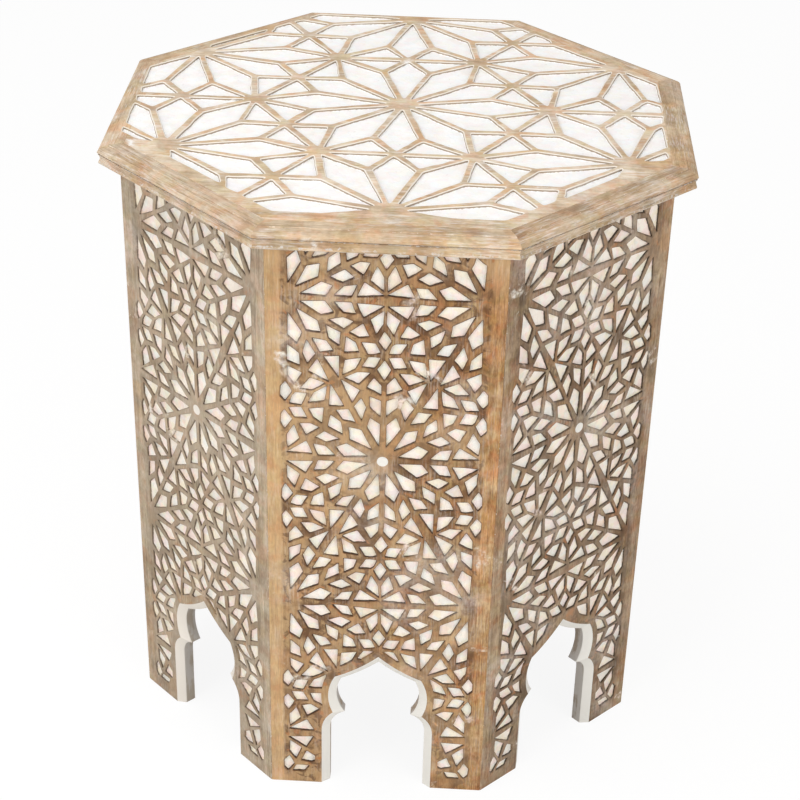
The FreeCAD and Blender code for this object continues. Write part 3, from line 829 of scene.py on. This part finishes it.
def eased_copy(cad_node, name, turn, shift):
    """A copy of a plain CAD solid as one closed mesh, with its arrises eased and its grain laid."""
    shell = bmesh.new()
    shell.from_mesh(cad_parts[cad_node].data)
    bmesh.ops.remove_doubles(shell, verts=shell.verts, dist=merge_gap)
    bmesh.ops.dissolve_limit(shell, angle_limit=radians(2), verts=shell.verts, edges=shell.edges)
    bmesh.ops.bevel(
        shell, geom=list(shell.edges), offset=eased_arris, segments=2, profile=0.5,
        affect="EDGES", clamp_overlap=True,
    )
    mesh = bpy.data.meshes.new(name)
    shell.to_mesh(mesh)
    shell.free()
    back = Matrix.Rotation(-turn, 3, "Z")
    laid = mesh.attributes.new("grain", "FLOAT_VECTOR", "POINT")
    for vertex in mesh.vertices:
        laid.data[vertex.index].vector = back @ vertex.co + Vector(shift)
    piece = loose_object(name, mesh)
    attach(piece, "root")
    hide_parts(cad_node)
    return piece


bare_tones = palette(
    (176, 140, 98), (207, 172, 128), (224, 194, 152), (140, 104, 68), (140, 104, 68), (120, 88, 58),
)
unpainted = {"smear": -0.3, "residue": 0.0, "stain": 0.0}
block_wood = washed_wood(
    "bare_block_wood", 2, bare_tones, side_wash, arch_tone, seed=21, **unpainted,
)
for step, direction in enumerate(directions):
    glue_block = eased_copy(
        "corner_block_" + direction, "glue_block_" + direction,
        eighth_turn * (step + 0.5), (0.23 * step, 0.41 * step, 0.19 * step),
    )
    glue_block.data.materials.append(block_wood)

# --- Battens under the top ---
# Eight softwood battens screwed inside the heads of the panels, one to a side, which carry the top.
# Their grain runs along them.

batten_wood = washed_wood(
    "bare_batten_wood", 0, bare_tones, side_wash, arch_tone, seed=22, **unpainted,
)
for step, direction in enumerate(directions):
    batten = eased_copy(
        "top_cleat_" + direction, "top_batten_" + direction,
        eighth_turn * step, (0.37 * step, 0.29 * step, 0.13 * step),
    )
    batten.data.materials.append(batten_wood)

# --- Top board ---
# One octagonal board with its grain from side to side. Large rosettes of twelve petals are sunk
# 2 mm into it between narrow ridges, and the cells are filled with white paint.

board_low, board_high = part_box("top_board")
rim_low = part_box("rim_moulding_front")[0]
table_height = board_high.z
board_apothem = board_high.y
top_apothem = -rim_low.y
carve_depth = 2 * mm
top_shoulder = 1.6 * mm
top_arris = 0.3 * mm
ridge_width = 6.3 * mm
rosette_pitch = 193.5 * mm
rosette_column = 173 * mm
rosette_left = 0.8 * mm
rosette_back = 13.7 * mm
smallest_cell = 3 * mm
top_slip = 0.55 * mm
top_corner = 1.6 * mm
# The plain border along each edge in millimetres, from the front edge round by the right one.
borders = [34, 32, 21, 20, 11.5, 15.5, 14, 31.5]
# Shares of the way from one rosette to the next: the knots round a rosette, and the tips of its
# petals, which end by turns between three rosettes and between two.
knot_share = 0.36
tip_shares = (1 / sqrt(3), 1 / 2)
column_share = sqrt(3) / 2


def on_top(share, degrees, middle):
    """A point of the lattice, from its share of the pitch and its angle at a rosette."""
    across, along = spot_at(share, radians(degrees))
    return (
        (middle[0] + across) * rosette_column / column_share - rosette_left,
        rosette_back + (middle[1] + along) * rosette_pitch,
    )


# The sunk cells of the top: petals and the triangles between them, cut by hand.
chance = random.Random(5)
top_outlines = []
for column, line, petal in product(range(-2, 3), range(-4, 5), range(12)):
    middle = (column * column_share, line + column / 2)
    angle = petal * 30
    knot = on_top(knot_share, angle - 15, middle)
    next_knot = on_top(knot_share, angle + 15, middle)
    tip = on_top(tip_shares[petal % 2], angle, middle)
    next_tip = on_top(tip_shares[1 - petal % 2], angle + 30, middle)
    for cell in ([on_top(0, 0, middle), knot, tip, next_knot], [tip, next_tip, next_knot]):
        cell = inset(cell, ridge_width / 2)
        for step, border in enumerate(borders):
            outward = turned((0, -1), eighth_turn * step)
            cell = keep_side(cell, outward, top_apothem - border * mm)
        if len(cell) > 2 and len(inset(cell, smallest_cell / 2)) > 2:
            top_outlines.append(cut_by_hand(cell, chance, top_slip, top_corner))


def top_cells(name, outlines, turn):
    """The cells of the top as flat faces on their floors, turned to where a piece is worked."""
    outlines = [[turned(point, -turn) for point in outline] for outline in outlines]
    floor_level = table_height - carve_depth
    return cell_floors(name, outlines, lambda across, along: (across, along, floor_level))


top_wash = palette((246, 244, 242), (249, 249, 249), (241, 237, 232))
# The last of these is the cell walls' colour, painted shade and dirt; the one before it is the
# rubbed pale shoulders.
top_tones = palette(
    (182, 158, 130), (215, 194, 166), (234, 218, 195),
    (152, 130, 104), (234, 226, 214), (146, 126, 104),
)
rings = []
for up, ease in ((board_low.z, 0), (table_height - top_arris, 0), (table_height, top_arris)):
    reach = (board_apothem - ease) / cos(eighth_turn / 2)
    rings.append([(*turned((0, -reach), eighth_turn * (step + 0.5)), up) for step in range(8)])
board_blank = loose_object("board_blank", stack_of_rings("board_blank", rings))
from_above = {
    "Cell_depth": carve_depth, "Shoulder": top_shoulder,
    "Into_the_wood": (0.0, 0.0, -1.0), "Face_level": -table_height,
}
carved_top = made_by(
    carving, "carved_top", top_cells("cells_top", top_outlines, 0),
    Board=board_blank, Grain_shift=(0.4, 0.9, 0.2), **from_above,
    Finish=washed_wood(
        "washed_top", 0, top_tones, top_wash, top_wash[0],
        smear=0.06, residue=0.5, stain=0.36, seed=31,
    ),
)
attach(carved_top, "root")
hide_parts("top_board")
bpy.data.objects.remove(board_blank)

# --- Rim mouldings ---
# Eight lengths of moulding mitred round the board: a flat that carries the lattice on, a rounded
# nose, a saw-cut groove and a hollow. White paint has stayed in the groove and along the lips.

rim_bottom = rim_low.z
nose_height = 5 * mm
nose_width = 8 * mm
quirk_depth = 0.8 * mm
groove_height = 1 * mm
groove_depth = 1.9 * mm
cove_setback = 0.6 * mm
cove_height = 6 * mm
cove_depth = 1.3 * mm
rub = 0.35 * mm
curve_steps = 8
stations = 36

# The section of the rim: how far out, how high, and the paint on the band that starts there.
nose_bottom = table_height - quirk_depth - nose_height
groove_bottom = nose_bottom - groove_height
cove_bottom = groove_bottom - cove_height
band = top_apothem - cove_setback
groove = top_apothem - groove_depth
shoulder = top_apothem - nose_width
section = [
    (board_apothem, rim_bottom, 0), (band - rub, rim_bottom, 0.8),
    (band, rim_bottom + rub, 0.3), (band, cove_bottom, 0.4),
]
for step in range(1, curve_steps):
    share = step / curve_steps
    bow = 4 * cove_depth * share * (1 - share)
    lip = 0.2 if 1 < step < curve_steps - 1 else 0.35
    section.append((band - bow, cove_bottom + cove_height * share, lip))
section += [
    (band, groove_bottom - rub, 0.42), (band - rub, groove_bottom, 0.55),
    (groove, groove_bottom, 0.42), (groove, nose_bottom, 0.5),
    (top_apothem - rub, nose_bottom, 0.3), (top_apothem, nose_bottom + rub, 0.12),
]
for step in range(1, curve_steps + 1):
    angle = radians(90 * step / curve_steps)
    section.append((
        shoulder + nose_width * cos(angle), nose_bottom + nose_height * sin(angle),
        0.1 if step < curve_steps else 0.36,
    ))
section += [
    (shoulder, table_height - rub, 0.3), (shoulder - rub, table_height, 0),
    (board_apothem + top_arris, table_height, 0), (board_apothem, table_height - top_arris, 0),
]


def rim_blank(seed):
    """One mitred length of moulding, its lips a little worn along their run."""
    chance = random.Random(seed)
    drift_kept, drift_step = 0.85, 0.03 * mm
    wear = [[0.0] * len(section) for station in range(stations + 1)]
    for index in range(2, len(section) - 3):
        drift = 0.0
        for station in range(1, stations):
            drift = drift_kept * drift + chance.gauss(0, drift_step)
            wear[station][index] = abs(drift)
    rings = []
    for station, worn_off in enumerate(wear):
        along = 2 * station / stations - 1
        ring = [(out - lost, up) for (out, up, _), lost in zip(section, worn_off)]
        rings.append([(along * out * mitre_slope, -out, up) for out, up in ring])
    blank = stack_of_rings("rim_blank", rings)
    painted = blank.attributes.new("line", "FLOAT", "FACE")
    ends = [0.0, 0.0]
    painted.data.foreach_set("value", [held for _, _, held in section] * stations + ends)
    return blank


rim_line = paint(232, 215, 193)
# The last of these is the cell walls' colour, painted shade and dirt; the one before it is the
# rubbed pale shoulders.
rim_tones = palette(
    (168, 144, 115), (203, 180, 150), (224, 204, 177),
    (126, 102, 76), (229, 220, 205), (150, 130, 106),
)
# Painted shade: the front-right length's tones are darkened where less light falls on it, and the
# front-left one's are made a little cooler.
rim_painted_shade = {"front_left": (0.95, 0.97, 1.02), "front_right": (0.86, 0.86, 0.87)}
for step, direction in enumerate(directions):
    painted_shade = rim_painted_shade.get(direction, (1, 1, 1))
    tones = [tuple(part * share for part, share in zip(tone, painted_shade)) + (1.0,) for tone in rim_tones]
    blank_rim = loose_object("blank_rim", rim_blank(71 + step))
    moulding = made_by(
        carving, "moulding_" + direction, top_cells("cells_rim", top_outlines, eighth_turn * step),
        Board=blank_rim, Grain_shift=(0.61 * step, 0.23 * step, 0.11 * step),
        Turn=eighth_turn * step, **from_above,
        Finish=washed_wood(
            "washed_moulding_" + direction, 0, tones, top_wash, rim_line,
            smear=0.06, residue=0.35, stain=0.3, seed=41 + step,
        ),
    )
    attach(moulding, "root")
    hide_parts("rim_moulding_" + direction)
    bpy.data.objects.remove(blank_rim)

# --- Screws ---
# Round-headed steel screws inside, two to a batten each way: up through it into the top, and out
# through it into the panel. Only their slotted heads show.

head_radius = 3.6 * mm
head_height = 2.2 * mm
slot_width = 0.9 * mm
up_spread = 40 * mm
out_spread = 18 * mm

fixing, given = new_tree("screw_heads", [
    ("Head radius", "Float", head_radius),
    ("Head height", "Float", head_height),
    ("Slot width", "Float", slot_width),
    ("Tilt", "Float", 0.0),
    ("Seed", "Int", 3),
    ("Finish", "Material"),
])
ball = node(fixing, "GeometryNodeMeshUVSphere", {
    "Segments": 20, "Rings": 10, "Radius": given["Head radius"],
}).outputs["Mesh"]
flatness = worked_out(fixing, "DIVIDE", given["Head height"], given["Head radius"])
dome = placed(fixing, ball, Scale=vector_of(fixing, X=1.0, Y=1.0, Z=flatness))
slot_length = worked_out(fixing, "MULTIPLY", given["Head radius"], 3.0)
slot_size = vector_of(fixing, X=slot_length, Y=given["Slot width"], Z=given["Head height"])
slot_block = node(fixing, "GeometryNodeMeshCube", {"Size": slot_size}).outputs["Mesh"]
slot = placed(fixing, slot_block, Translation=vector_of(fixing, Z=given["Head height"]))
facing = node(
    fixing, "GeometryNodeInputNamedAttribute", {"Name": "facing"}, data_type="FLOAT",
).outputs["Attribute"]
stood = node(fixing, "GeometryNodeInstanceOnPoints", {
    "Points": given["Geometry"], "Instance": cut_away(fixing, dome, slot),
    "Rotation": vector_of(fixing, X=given["Tilt"], Z=facing),
}).outputs[0]
spin = node(fixing, "FunctionNodeRandomValue", {
    2: 0.0, 3: pi, "Seed": given["Seed"],
}, data_type="FLOAT").outputs[1]
driven = node(fixing, "GeometryNodeRotateInstances", {
    "Instances": stood, "Rotation": vector_of(fixing, Z=spin), "Local Space": True,
}).outputs[0]
close_tree(fixing, given, driven)

dull_steel, steel, steel_shader = new_finish("dull_steel")
steel_shader.inputs["Metallic"].default_value = 1.0
seat = node(steel, "ShaderNodeTexCoord").outputs["Object"]
tarnish = node(steel, "ShaderNodeTexNoise", {
    "Vector": seat, "Scale": 900.0, "Detail": 3.0,
}).outputs["Fac"]
steel_tones = node(steel, "ShaderNodeValToRGB", {"Fac": tarnish})
dark, bright = steel_tones.color_ramp.elements
dark.color, bright.color = palette((138, 128, 104), (196, 190, 172))
steel.links.new(steel_tones.outputs["Color"], steel_shader.inputs["Base Color"])
sheen = node(steel, "ShaderNodeMapRange", {"Value": tarnish, "To Min": 0.25, "To Max": 0.5})
steel.links.new(sheen.outputs[0], steel_shader.inputs["Roughness"])

batten_low, batten_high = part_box("top_cleat_front")
batten_middle = (batten_low.y + batten_high.y) / 2
for name, spread, out, up, tilt in (
    ("top_screws", up_spread, batten_middle, batten_low.z, pi),
    ("panel_screws", out_spread, batten_high.y, (batten_low.z + batten_high.z) / 2, -pi / 2),
):
    spots, facings = [], []
    for step, side in product(range(8), (-1, 1)):
        spots.append((*turned((side * spread, out), eighth_turn * step), up))
        facings.append(eighth_turn * step)
    dots = bpy.data.meshes.new(name + "_spots")
    dots.from_pydata(spots, [], [])
    turned_to = dots.attributes.new("facing", "FLOAT", "POINT")
    turned_to.data.foreach_set("value", facings)
    screws = made_by(fixing, name, dots, Tilt=tilt, Finish=dull_steel)
    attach(screws, "root")

# --- Floor, light and camera ---
# A plain pale floor that keeps the shadow, soft lamps at a plain level, and the photograph's view.


def whitened(tree, lit, white, share, ending):
    """Mixes white into what the camera sees, and leaves the light on the table alone."""
    seen = node(tree, "ShaderNodeLightPath").outputs["Is Camera Ray"]
    mixed = node(tree, "ShaderNodeMixShader", {
        0: worked_out(tree, "MULTIPLY", seen, share), 1: lit.outputs[0], 2: white.outputs[0],
    })
    tree.links.new(mixed.outputs[0], tree.nodes[ending].inputs["Surface"])


floor_half = 6
floor_corners = [(-1, -1), (1, -1), (1, 1), (-1, 1)]
floor_sheet = bpy.data.meshes.new("floor")
floor_sheet.from_pydata(
    [(x * floor_half, y * floor_half, 0) for x, y in floor_corners], [], [(0, 1, 2, 3)],
)
floor = loose_object("floor", floor_sheet)
pale, pale_tree, pale_shader = new_finish("pale_floor")
pale_shader.inputs["Base Color"].default_value = (0.86, 0.86, 0.86, 1)
pale_shader.inputs["Roughness"].default_value = 0.9
floor_white = node(pale_tree, "ShaderNodeEmission", {"Color": (1, 1, 1, 1), "Strength": 1.03})
whitened(pale_tree, pale_shader, floor_white, 0.88, "Material Output")
floor_sheet.materials.append(pale)

scene = bpy.context.scene
scene.view_settings.view_transform = "Standard"
world = bpy.data.worlds.new("soft_room")
scene.world = world
world.use_nodes = True
room = world.node_tree
room_light = room.nodes["Background"]
room_light.inputs["Color"].default_value = (1.0, 0.985, 0.965, 1)
room_light.inputs["Strength"].default_value = 0.48
room_white = node(room, "ShaderNodeBackground", {"Color": (1, 1, 1, 1), "Strength": 1.0})
whitened(room, room_light, room_white, 1.0, "World Output")

for name, place_at, aim_height, width, power in (
    ("overhead", (-0.7, -0.3, 2.4), 0.4, 1.6, 23),
    ("front_left", (-1.7, -2.2, 1.3), 0.25, 1.4, 28),
    ("front_right", (1.9, -1.9, 1.2), 0.25, 1.4, 26),
):
    lamp = bpy.data.lights.new(name, "AREA")
    lamp.size, lamp.energy = width, power
    holder = loose_object(name, lamp)
    holder.location = place_at
    way = Vector((0, 0, aim_height)) - Vector(place_at)
    holder.rotation_euler = way.to_track_quat("-Z", "Y").to_euler()

# The camera was fitted to the corners of the top, the panels and the feet in the photograph.
eye = Vector((0.0572, -1.3807, 1.0767))
yaw, pitch, roll = -0.0387, 0.5416, 0.0262
focal_pixels, photo_pixels, sensor = 1899.6, 800, 36
ahead = Vector((sin(yaw) * cos(pitch), cos(yaw) * cos(pitch), -sin(pitch)))
level = Vector((cos(yaw), -sin(yaw), 0))
upright = level.cross(ahead)
rightward = level * cos(roll) + upright * sin(roll)
upward = upright * cos(roll) - level * sin(roll)
lens = bpy.data.cameras.new("camera")
lens.sensor_width = sensor
lens.lens = focal_pixels / photo_pixels * sensor
camera = loose_object("camera", lens)
stance = Matrix((rightward, upward, -ahead)).transposed().to_4x4()
stance.translation = eye
camera.matrix_world = stance
scene.camera = camera
